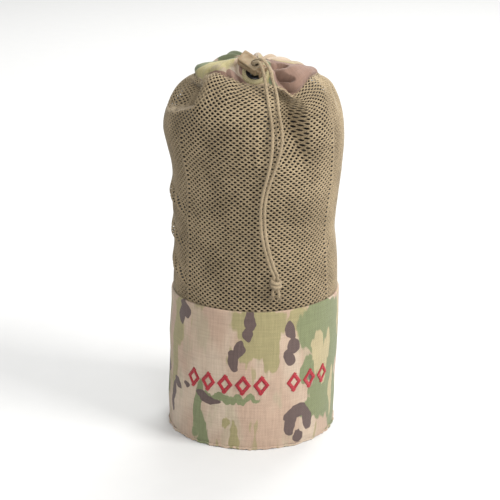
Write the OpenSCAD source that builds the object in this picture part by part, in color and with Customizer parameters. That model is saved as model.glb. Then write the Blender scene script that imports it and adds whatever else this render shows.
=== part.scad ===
// Throw-line bag: a firm round base, a net upper and a gathered drawcord mouth,
// with the throw line stowed inside. Origin at the middle of the bottom, +Z up,
// the embroidery and the cord lock face -Y. Millimetres.

/* [Base] */
// Outside diameter of the base wall
base_d = 156; // [150:0.5:160]
// Height of the base wall
base_h = 133; // [126:1:140]
// Thickness of the coated fabric
fabric_t = 1.2; // [0.8:0.1:1.3]
// Thickness of the foam disc in the bottom
foam_floor_t = 17.6; // [10:0.2:18]
// Width of the hem and of the seam allowances under it
hem_w = 13; // [10:1:16]

/* [Net] */
// Height of the narrowest ring of the net
waist_z = 190; // [170:5:220]
// Radius of the narrowest ring of the net
waist_r = 73; // [70:0.5:75]
// Height of the widest ring of the net
bulge_z = 285; // [270:1:290]
// Radius of the widest ring of the net
bulge_r = 81; // [78:0.5:84]
// Thickness of the net
net_t = 1.2; // [0.8:0.1:1.3]

/* [Collar] */
// Radius of the middle of the gathered tunnel
tunnel_r = 32; // [31:0.5:33]
// Height of the middle of the gathered tunnel
tunnel_z = 336.5; // [336:0.5:338]
// Slant width of the gathered tunnel
tunnel_w = 44; // [40:1:45]
// Puffed thickness of the gathered tunnel
tunnel_t = 12; // [11.5:0.1:13]
// Slope of the tunnel, rising towards the mouth
tunnel_tilt = 40; // [38:1:42]

/* [Drawcord] */
// Diameter of the drawcord
cord_d = 3; // [2.5:0.1:3]
// Tilt of the cord's way out of the eyelet, from upright towards the front
exit_tilt = 45; // [44:1:46]

/* [Cord lock] */
// Length of the lock body
lock_l = 20.3; // [20:0.1:21]
// Width of the lock body
lock_w = 12; // [11.8:0.1:13]
// Thickness of the lock body
lock_t = 9.2; // [9:0.1:9.4]
// Turn of the lock about the cords
lock_spin = 38; // [30:1:45]
// How far the plunger travels
plunger_travel = 3; // [2:0.1:3]

/* [Throw line] */
// Diameter of the throw line
line_d = 9.5; // [8:0.1:9.5]

/* [Embroidery] */
// Height of each embroidered figure
figure_h = 19; // [15:1:22]
// Width of each embroidered figure
figure_w = 13; // [10:0.5:14]
// Width of the satin-stitch band that draws a figure
stitch_w = 3; // [2:0.1:3.2]

/* [Hidden] */
$fn = 96;

fit = 0.2;                              // clearance between sewn layers
base_r = base_d / 2;
wall_in_r = base_r - fabric_t;
seam_h = 2.6;                           // height of the seam allowance round the bottom
tape_t = 0.8;                           // thickness of binding tape
back_seam_angle = 8;                    // a back seam's share of the round
foam_out_r = wall_in_r - tape_t - 0.3;
foam_in_r = foam_out_r - 7.4;
foam_floor_top = fabric_t + fit + foam_floor_t;
hem_z = base_h - hem_w;                 // lower edge of the hem
lining_top = hem_z - 2;
lining_t = 0.8;
lining_r = foam_in_r - 0.3;
lining_floor_top = foam_floor_top + 0.3 + lining_t;

net_foot_r = wall_in_r - 1.3;           // the net comes up inside the hem
net_start = base_h + 1.5;
shoulder_r0 = 20;                       // centre radius of the shoulder's arc
shoulder_h = 50;                        // height of that arc
shoulder_angle = 60;                    // where the net meets the tunnel
net_steps = 12;
shoulder_steps = 8;

eyelet_y = -36;
eyelet_z = 341;
eyelet_x = 2;
eyelet_bore = 8.4;
barrel_d = 9.6;
patch_d = 20;
patch_t = 2.2;
flange_t = 0.8;

lock_mid = 9.4;                         // lock's middle, along the cords from the eyelet
lock_back = -15.3;                      // the lock's closed end, along its own length
chamber_w = 9.6;
chamber_t = 5.8;
chamber_back = lock_back + 1.6;
cord_hole_d = 7;
plunger_back = -7.5;
plunger_end = 9;
plunger_w = 9.2;
plunger_t = 5.2;

// Free parts of the two strands, from the lock's face down to the knot
right_free = [
    [8.5, -52, 355], [13.5, -52.5, 349], [17, -55, 338.5], [20.5, -60.5, 326.5],
    [22.5, -71, 312.5], [25, -78.5, 297.5], [24.5, -80.8, 284], [20, -81.8, 267],
    [14, -82, 250], [10.5, -81.8, 232],
    [11, -81, 210], [14, -80.3, 192], [19, -79.7, 175], [21.9, -79.5, 168], [21.9, -79.5, 165]
];
left_free = [
    [6, -53.5, 352.5], [9.5, -55.5, 343.5], [11.5, -59.5, 332.5], [14, -69.5, 317.5],
    [16.5, -78.7, 302.5], [17, -81.8, 291], [16, -82.6, 276], [13.5, -82.8, 262],
    [9.5, -82.6, 246], [7, -82.2, 230],
    [7.6, -81.2, 210], [10.5, -80.4, 193], [15.5, -79.7, 176], [18.7, -79.5, 168], [18.7, -79.5, 165]
];
knot_at = [20.3, -79.5, 160.5];

anchor_top = 48;                        // top of the webbing loop above the floor
anchor_w = 25;
core_r = 27.5;                          // hollow round the anchor, inside the stowed line
core_top = 96;
pocket_r = 43;                          // hollow on top of the stowed line
pocket_z = 283.8;
hand_loop_r = 26;

function flip(list) = [for (i = [len(list) - 1:-1:0]) list[i]];
function ease(from, to, t) = from + (to - from) * (1 - cos(180 * t)) / 2;
function unit(v) = v / norm(v);

// Outer radius of the net at a height between the hem and the widest ring
function net_r(z) = z < waist_z
    ? ease(net_foot_r, waist_r, (z - base_h) / (waist_z - base_h))
    : ease(waist_r, bulge_r, (z - waist_z) / (bulge_z - waist_z));

// Net outline above the hem, moved inwards by inset, up to an angle of the shoulder
function net_outline(inset, top_angle) = concat(
    [for (i = [0:net_steps])
        let (z = net_start + i * (bulge_z - net_start) / net_steps)
        [net_r(z) - inset, z]],
    [for (i = [1:shoulder_steps])
        let (a = i * top_angle / shoulder_steps)
        [shoulder_r0 + (bulge_r - shoulder_r0 - inset) * cos(a),
         bulge_z + (shoulder_h - inset) * sin(a)]]
);

function ellipse(a, b, n = 32) = [for (i = [0:n - 1]) [a * cos(360 * i / n), b * sin(360 * i / n)]];

// Middle line of a smooth cord through the points, with one more point in each gap
function between(p, i) = let (
        a = p[max(i - 1, 0)], b = p[i], c = p[i + 1], d = p[min(i + 2, len(p) - 1)]
    ) (9 * (b + c) - a - d) / 16;
function smooth(p) = [for (i = [0:len(p) - 2]) each [p[i], between(p, i)], p[len(p) - 1]];

function heading(p, i) = unit(p[min(i + 1, len(p) - 1)] - p[max(i - 1, 0)]);
function ring(centre, ahead, r, sides, across = [1, 0, 0]) =
    let (e = unit(cross(ahead, across)), f = cross(e, ahead))
    [for (k = [0:sides - 1]) centre + r * (cos(360 * k / sides) * e + sin(360 * k / sides) * f)];

// One closed tube along the points
module tube_along(p, d, sides = 8, across = [1, 0, 0]) {
    n = len(p);
    points = [for (i = [0:n - 1]) each ring(p[i], heading(p, i), d / 2, sides, across)];
    walls = [for (i = [0:n - 2], k = [0:sides - 1])
        let (a = i * sides + k, b = i * sides + (k + 1) % sides)
        each [[a, b, b + sides], [a, b + sides, a + sides]]];
    caps = [flip([for (k = [0:sides - 1]) k]), [for (k = [0:sides - 1]) (n - 1) * sides + k]];
    polyhedron(points = points, faces = concat(walls, caps), convexity = 6);
}

module annulus(r_out, r_in, z_low, z_high) {
    translate([0, 0, z_low])
        difference() {
            cylinder(h = z_high - z_low, r = r_out);
            translate([0, 0, -1]) cylinder(h = z_high - z_low + 2, r = r_in);
        }
}

module rounded_block(x_low, x_high, width, thick, r) {
    translate([0, 0, -thick / 2])
        linear_extrude(thick) {
            translate([x_low + r, -width / 2]) square([x_high - x_low - 2 * r, width]);
            translate([x_low, -width / 2 + r]) square([x_high - x_low, width - 2 * r]);
            for (x = [x_low + r, x_high - r], y = [-1, 1])
                translate([x, y * (width / 2 - r)]) circle(r, $fn = 32);
        }
}

// Puts its children at the eyelet, with their Z along the cords on their way out
module at_eyelet(along = 0) {
    translate([eyelet_x, eyelet_y, eyelet_z])
        rotate([exit_tilt, 0, 0])
            translate([0, 0, along]) children();
}

// Puts its children at the lock: X along its length, Y across it, Z along the cords
module at_lock() {
    at_eyelet(lock_mid) rotate([0, 0, -lock_spin]) children();
}

// ---- base ----

module base_wall() {
    fold_r = wall_in_r - 1.1;
    color([0.70, 0.62, 0.52])
        rotate_extrude()
            polygon([
                [base_r, seam_h + fit], [base_r, base_h], [fold_r, base_h],
                [fold_r, hem_z], [fold_r + 1, hem_z], [fold_r + 1, base_h - fabric_t],
                [wall_in_r, base_h - fabric_t], [wall_in_r, seam_h + fit]
            ]);
}

module base_floor() {
    color([0.62, 0.55, 0.45]) cylinder(h = fabric_t, r = wall_in_r - 0.5);
}

module bottom_seam() {
    stand_out = 0.8;
    color([0.45, 0.38, 0.32])
        rotate_extrude()
            polygon([
                [wall_in_r - 0.3, 0], [base_r, 0], [base_r + stand_out, stand_out],
                [base_r + stand_out, seam_h - stand_out], [base_r, seam_h], [wall_in_r - 0.3, seam_h]
            ]);
}

module wall_back_seam() {
    color([0.35, 0.33, 0.26])
        rotate([0, 0, 90 - back_seam_angle / 2])
            rotate_extrude(angle = back_seam_angle)
                translate([foam_out_r + 0.1, foam_floor_top + 3])
                    square([tape_t, hem_z - foam_floor_top - 6]);
}

module foam_wall() {
    color([0.20, 0.20, 0.21])
        annulus(foam_out_r, foam_in_r, foam_floor_top + fit, lining_top - lining_t - fit);
}

module foam_floor() {
    color([0.20, 0.20, 0.21])
        translate([0, 0, fabric_t + fit]) cylinder(h = foam_floor_t, r = wall_in_r - 0.3);
}

module base_lining() {
    low = foam_floor_top + 0.3;
    color([0.30, 0.30, 0.26])
        rotate_extrude()
            polygon([
                [0, low], [lining_r, low], [lining_r, lining_top - lining_t],
                [foam_out_r - 0.3, lining_top - lining_t], [foam_out_r - 0.3, lining_top],
                [lining_r - lining_t, lining_top], [lining_r - lining_t, low + lining_t],
                [0, low + lining_t]
            ]);
}

module seam_tape() {
    tape_r = net_foot_r - net_t - fit;
    color([0.35, 0.33, 0.26]) annulus(tape_r, tape_r - 1, hem_z + 0.5, base_h);
}

// ---- embroidery ----

module diamond(h, w) {
    polygon([[0, h / 2], [w / 2, 0], [0, -h / 2], [-w / 2, 0]]);
}

module figure() {
    difference() {
        diamond(figure_h, figure_w);
        diamond(figure_h - 3 * stitch_w, figure_w - 2 * stitch_w);
    }
}

module front_embroidery() {
    figure_z = 63;
    first_row = [for (i = [0:4]) -44 + 12.3 * i];
    second_row = [for (i = [0:2]) 28 + 12.6 * i];
    color([0.72, 0.17, 0.22])
        intersection() {
            annulus(base_r + 0.6, base_r + 0.02, figure_z - figure_h, figure_z + figure_h);
            for (a = concat(first_row, second_row))
                rotate([0, 0, a])
                    translate([0, -base_r + 3, figure_z])
                        rotate([90, 0, 0]) linear_extrude(6) figure();
        }
}

// ---- net ----

module mesh_body() {
    color([0.46, 0.41, 0.31])
        rotate_extrude()
            polygon(concat(
                [[net_foot_r, hem_z]], net_outline(0, shoulder_angle),
                flip(net_outline(net_t, shoulder_angle)), [[net_foot_r - net_t, hem_z]]
            ));
}

module mesh_back_seam() {
    near = net_t + 0.1;
    seam_end = shoulder_angle - 4;      // stops just below the tunnel
    color([0.35, 0.33, 0.26])
        rotate([0, 0, 90 - back_seam_angle / 2])
            rotate_extrude(angle = back_seam_angle)
                polygon(concat(
                    net_outline(near, seam_end), flip(net_outline(near + 0.7, seam_end))
                ));
}

// ---- collar and eyelet ----

module collar_tunnel() {
    color([0.62, 0.55, 0.42])
        difference() {
            rotate_extrude()
                translate([tunnel_r, tunnel_z])
                    rotate(-tunnel_tilt)
                        difference() {
                            polygon(ellipse(tunnel_w / 2, tunnel_t / 2));
                            polygon(ellipse(tunnel_w / 2 - 1.4, tunnel_t / 2 - fabric_t));
                        }
            at_eyelet(-5) cylinder(h = 9, d = patch_d + fit);
        }
}

module eyelet_patch() {
    color([0.60, 0.60, 0.40])
        at_eyelet(-patch_t)
            difference() {
                cylinder(h = patch_t, d = patch_d);
                translate([0, 0, -1]) cylinder(h = patch_t + 2, d = barrel_d + fit);
            }
}

module eyelet_flange() {
    color([0.10, 0.10, 0.11])
        at_eyelet()
            difference() {
                union() {
                    cylinder(h = flange_t, d = 16);
                    translate([0, 0, -patch_t - flange_t])
                        cylinder(h = patch_t + 2 * flange_t, d = barrel_d);
                }
                translate([0, 0, -5]) cylinder(h = 10, d = eyelet_bore);
            }
}

module eyelet_washer() {
    color([0.10, 0.10, 0.11])
        at_eyelet(-patch_t - flange_t)
            difference() {
                cylinder(h = flange_t, d = 15);
                translate([0, 0, -1]) cylinder(h = flange_t + 2, d = barrel_d + fit);
            }
}

// ---- drawcord ----

module drawcord_loop() {
    way_out = 40;                       // the arc left open in front of the eyelet
    color([0.62, 0.56, 0.43])
        rotate([0, 0, -90 + way_out / 2])
            rotate_extrude(angle = 360 - way_out)
                translate([tunnel_r, tunnel_z]) circle(d = cord_d, $fn = 32);
}

// A strand runs straight through eyelet and lock, then hangs along its free points
module cord_tail(side, free) {
    strand = side * 1.6;                // distance of a strand from the middle of the hole
    out = [0, -sin(exit_tilt), cos(exit_tilt)];
    over = [sin(lock_spin), cos(lock_spin) * cos(exit_tilt), cos(lock_spin) * sin(exit_tilt)];
    start = [eyelet_x, eyelet_y, eyelet_z] + strand * over;
    straight = [for (s = [-8.5, 0, 8, 15]) start + s * out];
    color([0.62, 0.56, 0.43])
        tube_along(concat(straight, smooth(concat([start + 16.5 * out], free))), cord_d);
}

module cord_tail_left() {
    cord_tail(-1, left_free);
}

module cord_tail_right() {
    cord_tail(1, right_free);
}

module tail_knot() {
    half_h = 4.5;
    color([0.62, 0.56, 0.43])
        translate(knot_at)
            rotate_extrude($fn = 48)
                polygon([[0, -half_h], [3.4, -half_h], [4.9, -2], [4.9, 2], [3.8, half_h], [0, half_h]]);
}

module tail_ends() {
    color([0.62, 0.56, 0.43])
        for (side = [-1, 1])
            translate(knot_at + [side * 1.6, 0, -4.5])
                rotate([0, 180 - side * 6, 0])
                    translate([0, 0, 0.4]) cylinder(h = side < 0 ? 7 : 8.5, d = cord_d - 0.2, $fn = 32);
}

// ---- cord lock ----

module lock_body() {
    slot_l = 12.5;
    color([0.60, 0.50, 0.36])
        at_lock()
            difference() {
                rounded_block(lock_back, lock_back + lock_l, lock_w, lock_t, 1.2);
                translate([chamber_back, -chamber_w / 2, -chamber_t / 2])
                    cube([lock_l, chamber_w, chamber_t]);
                translate([0, 0, -lock_t]) cylinder(h = 2 * lock_t, d = cord_hole_d);
                translate([-0.7 - slot_l, -lock_w, 0.6]) cube([slot_l, 2 * lock_w, 1.8]);
            }
}

module lock_plunger() {
    hole_l = cord_d + plunger_travel + 0.4;
    color([0.56, 0.46, 0.33])
        at_lock()
            difference() {
                union() {
                    rounded_block(plunger_back, plunger_end, plunger_w, plunger_t, 0.6);
                    translate([-3.2, -5.4, 0.8]) cube([2.3, 10.8, 1.4]);
                }
                translate([-1.7, -3.4, -5]) cube([hole_l, 6.8, 10]);
            }
}

module lock_spring() {
    wire = 0.7;
    turns = 4;
    steps = 12;
    low = chamber_back + 0.1 + wire / 2;
    high = plunger_back - 0.1 - wire / 2;
    wound = [for (i = [0:turns * steps])
        let (a = 360 * i / steps)
        [low + (high - low) * i / (turns * steps), 1.95 * cos(a), 1.95 * sin(a)]];
    color([0.70, 0.70, 0.72]) at_lock() tube_along(wound, wire, 6);
}

// ---- throw line ----

module anchor_webbing() {
    strap = 1.8;
    low = lining_floor_top + 0.1;
    arch_r = 13;
    color([0.20, 0.20, 0.18])
        translate([0, anchor_w / 2, 0])
            rotate([90, 0, 0])
                linear_extrude(anchor_w) {
                    difference() {
                        union() {
                            translate([-arch_r, low]) square([2 * arch_r, anchor_top - arch_r - low]);
                            translate([0, anchor_top - arch_r]) circle(arch_r);
                        }
                        translate([-arch_r + strap, low + strap])
                            square([2 * (arch_r - strap), anchor_top - arch_r - low - strap]);
                        translate([0, anchor_top - arch_r]) circle(arch_r - strap);
                    }
                    translate([-23, low]) square([46, strap]);
                }
}

module line_anchor_loop() {
    color([0.16, 0.15, 0.13])
        translate([0, 0, anchor_top - 0.9])
            rotate([0, 90, 0])
                rotate_extrude() translate([17.9, 0]) circle(d = line_d, $fn = 48);
}

module line_anchor_knot() {
    knot_r = 11.5;
    color([0.16, 0.15, 0.13]) translate([0, 0, anchor_top + 22.3 + knot_r]) sphere(knot_r);
}

module throw_line() {
    inset = net_t + 1.3;
    filled_angle = 40;                  // how far up the shoulder the line fills the net
    r = lining_r - lining_t - 0.6;
    low = lining_floor_top + 0.5;
    color([0.16, 0.15, 0.13])
        rotate_extrude()
            polygon(concat(
                [[core_r, low], [r, low], [r, lining_top + 1.5], [net_foot_r - 3.2, lining_top + 6]],
                net_outline(inset, filled_angle),
                [[54, bulge_z + 29], [pocket_r, bulge_z + 19], [pocket_r, pocket_z], [0, pocket_z]],
                [[0, core_top], [core_r, core_top]]
            ));
}

module line_hand_loop() {
    open_angle = 50;                    // the knot fills this part of the loop
    color([0.16, 0.15, 0.13])
        translate([0, 0, pocket_z + 0.4 + line_d / 2])
            rotate([0, 0, 90 + open_angle / 2])
                rotate_extrude(angle = 360 - open_angle)
                    translate([hand_loop_r, 0]) circle(d = line_d, $fn = 48);
}

module line_hand_knot() {
    knot_r = 9.5;
    color([0.16, 0.15, 0.13]) translate([0, hand_loop_r, pocket_z + 0.4 + knot_r]) sphere(knot_r);
}

base_wall();
base_floor();
bottom_seam();
wall_back_seam();
foam_wall();
foam_floor();
base_lining();
seam_tape();
front_embroidery();
mesh_body();
mesh_back_seam();
collar_tunnel();
eyelet_patch();
eyelet_flange();
eyelet_washer();
drawcord_loop();
cord_tail_left();
cord_tail_right();
tail_knot();
tail_ends();
lock_body();
lock_plunger();
lock_spring();
anchor_webbing();
line_anchor_loop();
line_anchor_knot();
throw_line();
line_hand_loop();
line_hand_knot();
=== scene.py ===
"""Looks of the throw-line bag: net upper, printed base, gathered mouth, cord lock and stowed line.
Shapes are worked out in millimetres, with Z up and the front towards -Y, and put in place in metres."""

import math

import bmesh
import bpy
import numpy as np
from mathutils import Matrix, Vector


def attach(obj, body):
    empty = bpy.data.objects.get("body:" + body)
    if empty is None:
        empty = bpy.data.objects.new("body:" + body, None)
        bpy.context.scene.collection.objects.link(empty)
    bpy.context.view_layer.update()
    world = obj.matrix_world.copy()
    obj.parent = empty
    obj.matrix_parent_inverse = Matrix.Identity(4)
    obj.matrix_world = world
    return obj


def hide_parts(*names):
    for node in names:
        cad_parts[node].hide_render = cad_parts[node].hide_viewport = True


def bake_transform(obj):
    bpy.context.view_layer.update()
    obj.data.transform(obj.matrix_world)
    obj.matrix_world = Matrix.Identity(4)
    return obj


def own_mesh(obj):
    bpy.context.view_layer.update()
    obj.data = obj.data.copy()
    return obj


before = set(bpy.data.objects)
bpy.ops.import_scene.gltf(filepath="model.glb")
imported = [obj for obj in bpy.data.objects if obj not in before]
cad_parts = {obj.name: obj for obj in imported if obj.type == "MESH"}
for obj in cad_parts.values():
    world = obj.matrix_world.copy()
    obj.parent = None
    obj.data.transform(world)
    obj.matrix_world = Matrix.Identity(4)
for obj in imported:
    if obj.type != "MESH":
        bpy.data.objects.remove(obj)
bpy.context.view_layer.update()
MM = 0.001
TURN = 2 * math.pi
RIPPLE_WAVES = 14


# ---- camera ----

camera = bpy.data.objects.new("camera", bpy.data.cameras.new("camera"))
camera.data.lens = 118.8
camera.data.sensor_width = 36
camera.data.clip_end = 20
camera.location = (-0.0023, -1.45, 0.64)
camera.rotation_euler = (math.radians(90 - 18.1), 0, 0)
bpy.context.scene.collection.objects.link(camera)
bpy.context.scene.camera = camera
bpy.context.scene.view_settings.view_transform = "Standard"


# ---- mesh helpers ----


def unit(v):
    v = np.asarray(v, float)
    return v / np.linalg.norm(v, axis=-1, keepdims=True)


def piece(name, points, faces, material, slot, node_name=None, body="bag", cloth=None):
    """A mesh from points in millimetres and faces, which rides on a body and stands for a CAD node.

    cloth is each point's place on the cut cloth, in millimetres."""
    mesh = bpy.data.meshes.new(name)
    mesh.from_pydata((np.asarray(points, float) * MM).tolist(), [], [list(map(int, f)) for f in faces])
    mesh.polygons.foreach_set("use_smooth", [True] * len(mesh.polygons))
    if cloth is not None:
        corner = np.empty(len(mesh.loops), np.int32)
        mesh.loops.foreach_get("vertex_index", corner)
        layer = mesh.uv_layers.new(name="cloth")
        layer.data.foreach_set("uv", (np.asarray(cloth, float)[corner] * MM).ravel().astype(np.float32))
    mesh.materials.append(material)
    mesh.validate()
    made = bpy.data.objects.new(name, mesh)
    bpy.context.scene.collection.objects.link(made)
    if body:
        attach(made, body)
    if node_name:
        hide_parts(node_name)
    return made


def grid_faces(rows, columns, wrap_rows=False, wrap_columns=True):
    i = np.arange(rows if wrap_rows else rows - 1)
    j = np.arange(columns if wrap_columns else columns - 1)
    i, j = (a.ravel() for a in np.meshgrid(i, j, indexing="ij"))
    k, m = (i + 1) % rows, (j + 1) % columns
    return np.stack([i * columns + j, i * columns + m, k * columns + m, k * columns + j], axis=1)


def ripple(theta, along, seed, turns, waves):
    """Smooth relief of about unit size that is the same each run and closes on itself round the bag."""
    rng = np.random.default_rng(seed)
    total = 0.0
    for _ in range(RIPPLE_WAVES):
        around = int(rng.integers(-turns, turns + 1))
        total = total + np.cos(around * theta + rng.uniform(-waves, waves) * along + rng.uniform(0, TURN))
    return total / math.sqrt(RIPPLE_WAVES)


def hump(x, centre, half_width):
    """1 at the centre, 0 from half_width away, smooth between."""
    t = np.clip(np.abs(np.asarray(x, float) - centre) / half_width, 0, 1)
    return 0.5 + 0.5 * np.cos(math.pi * t)


def angle_between(a, b):
    return (a - b + math.pi) % TURN - math.pi


def step(x, low, high):
    t = np.clip((np.asarray(x, float) - low) / (high - low), 0, 1)
    return t * t * (3 - 2 * t)


def smooth_path(points, per_gap=10):
    """A smooth curve through the points."""
    p = np.asarray(points, float)
    q = np.vstack([2 * p[0] - p[1], p, 2 * p[-1] - p[-2]])
    t = (np.arange(per_gap) / per_gap)[:, None]
    out = []
    for a, b, c, d in zip(q, q[1:], q[2:], q[3:]):
        out.append(0.5 * (2 * b + (c - a) * t + (2 * a - 5 * b + 4 * c - d) * t**2 + (3 * b - a - 3 * c + d) * t**3))
    return np.vstack([*out, p[-1:]])


def evenly(path, spacing):
    """The path again with points at equal steps, and its length."""
    at = np.concatenate([[0], np.cumsum(np.linalg.norm(np.diff(path, axis=0), axis=1))])
    count = max(int(round(at[-1] / spacing)), 2) + 1
    want = np.linspace(0, at[-1], count)
    return np.stack([np.interp(want, at, path[:, k]) for k in range(3)], axis=1), at[-1]


def frames(path):
    """Directions along and across a path, turning as little as they can."""
    ahead = unit(np.gradient(path, axis=0))
    side = np.zeros_like(path)
    e = np.cross(ahead[0], [0.3, 0.5, 0.8])
    for i, t in enumerate(ahead):
        e = unit(e - t * (e @ t))
        side[i] = e
    return ahead, side, np.cross(ahead, side)


def tube(path, radius, sides):
    """Points and faces of a closed tube. radius is a number or an array of one row for each ring."""
    _, e, f = frames(path)
    a = np.arange(sides) * TURN / sides
    r = np.broadcast_to(np.asarray(radius, float), (len(path), sides))
    outward = np.cos(a)[None, :, None] * e[:, None] + np.sin(a)[None, :, None] * f[:, None]
    rings = path[:, None] + r[:, :, None] * outward
    points = rings.reshape(-1, 3)
    faces = [*grid_faces(len(path), sides)[:, ::-1]]
    faces.append(list(range(sides)))
    faces.append(list(range(len(points) - sides, len(points)))[::-1])
    return points, faces


def braid(length, rings, sides, diameter, carriers=4, pitch=None, depth=0.16):
    """Radius of a braided cord: two sets of strands that pass over and under each other."""
    pitch = pitch or 4.2 * diameter
    s = np.linspace(0, length, rings)[:, None]
    a = (np.arange(sides) / sides)[None, :]
    u, v = carriers * (a + s / pitch), carriers * (a - s / pitch)
    over = (np.floor(u) + np.floor(v)) % 2 < 0.5
    hu, hv = np.abs(np.sin(math.pi * u)) ** 0.6, np.abs(np.sin(math.pi * v)) ** 0.6
    relief = np.where(over, hu * (0.55 + 0.45 * hv), hv * (0.55 + 0.45 * hu))
    return diameter / 2 * (1 - depth + depth * relief)


def merged(parts):
    """Several (points, faces) as one."""
    points, faces, n = [], [], 0
    for p, f in parts:
        points.append(np.asarray(p, float))
        faces.extend([[int(i) + n for i in face] for face in f])
        n += len(p)
    return np.vstack(points), faces


def cord_mesh(path, diameter, ring_step=0.36, sides=24, **braiding):
    line, length = evenly(path, ring_step)
    return tube(line, braid(length, len(line), sides, diameter, **braiding), sides), line, length


# ---- material helpers ----


def rgb(r, g, b):
    """A colour given as it looks on a screen, 0 to 255."""
    return (*[(c / 255 / 12.92) if c <= 10 else ((c / 255 + 0.055) / 1.055) ** 2.4 for c in (r, g, b)], 1)


def shader(name, **sockets):
    material = bpy.data.materials.new(name)
    material.use_nodes = True
    tree = material.node_tree
    bsdf = tree.nodes["Principled BSDF"]
    for socket, value in sockets.items():
        bsdf.inputs[socket.replace("_", " ")].default_value = value
    return material, tree, bsdf


def node(tree, kind, inputs=None, **settings):
    made = tree.nodes.new("ShaderNode" + kind)
    for key, value in settings.items():
        setattr(made, key, value)
    for key, value in (inputs or {}).items():
        if isinstance(value, bpy.types.NodeSocket):
            tree.links.new(value, made.inputs[key])
        else:
            made.inputs[key].default_value = value
    return made


def math_node(tree, operation, *values, clamp=False):
    return node(tree, "Math", dict(enumerate(values)), operation=operation, use_clamp=clamp).outputs[0]


def mix_colour(tree, share, a, b):
    made = node(tree, "Mix", data_type="RGBA")
    for socket, value in ((made.inputs[0], share), (made.inputs[6], a), (made.inputs[7], b)):
        if isinstance(value, bpy.types.NodeSocket):
            tree.links.new(value, socket)
        else:
            socket.default_value = value
    return made.outputs[2]


def ramp(tree, value, low, high):
    """0 below low, 1 above high."""
    return node(tree, "MapRange", {0: value, 1: low, 2: high}, interpolation_type="SMOOTHSTEP").outputs[0]


def noise(tree, vector, scale, detail=2.0, roughness=0.5, out=0):
    inputs = {"Vector": vector, "Scale": scale, "Detail": detail, "Roughness": roughness}
    return node(tree, "TexNoise", inputs).outputs[out]


def bump(tree, bsdf, height, distance, strength=1.0):
    made = node(tree, "Bump", {"Height": height, "Distance": distance, "Strength": strength})
    tree.links.new(made.outputs[0], bsdf.inputs["Normal"])


def position(tree):
    return node(tree, "TexCoord").outputs["Object"]


def cloth_uv(tree):
    return node(tree, "UVMap", uv_map="cloth").outputs[0]


def weave(tree, uv, thread):
    """Height of a plain weave with that thread spacing in metres."""
    parts = node(tree, "SeparateXYZ", {0: uv})
    u = math_node(tree, "MULTIPLY", parts.outputs[0], math.pi / thread)
    v = math_node(tree, "MULTIPLY", parts.outputs[1], math.pi / thread)
    across = math_node(tree, "ABSOLUTE", math_node(tree, "SINE", u))
    along = math_node(tree, "ABSOLUTE", math_node(tree, "SINE", v))
    checks = math_node(tree, "MULTIPLY", math_node(tree, "SINE", u), math_node(tree, "SINE", v))
    return math_node(tree, "ADD", math_node(tree, "MULTIPLY", across, along), math_node(tree, "MULTIPLY", checks, 0.5))


def blobs(tree, uv, shapes):
    """How far a point is from the nearest of several ovals, as a share of its radius.

    An oval is (x, y, half width, half height, turn in degrees), in mm."""
    found = None
    for x, y, rx, ry, turn in shapes:
        moved = node(
            tree,
            "Mapping",
            {
                "Vector": uv,
                "Location": (x * MM, y * MM, 0),
                "Rotation": (0, 0, math.radians(turn)),
                "Scale": (rx * MM, ry * MM, 1),
            },
            vector_type="TEXTURE",
        )
        length = node(tree, "VectorMath", {0: moved.outputs[0]}, operation="LENGTH").outputs["Value"]
        if found is None:
            found = length
        else:
            found = node(tree, "Math", {0: found, 1: length, 2: 0.12}, operation="SMOOTH_MIN").outputs[0]
    return found


# ---- materials ----

BASE_PALETTE = {
    "ground": rgb(168, 144, 125), "beige": rgb(179, 162, 143), "pale": rgb(154, 147, 122),
    "olive": rgb(143, 134, 97), "green": rgb(113, 119, 86), "flame": rgb(164, 151, 117), "brown": rgb(89, 74, 70),
}
COLLAR_PALETTE = dict(
    BASE_PALETTE, ground=rgb(160, 140, 117), olive=rgb(163, 153, 110), brown=rgb(130, 104, 90),
    green=rgb(112, 119, 90),
)
CANVAS_THREAD = 0.0009  # metres from thread to thread


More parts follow.
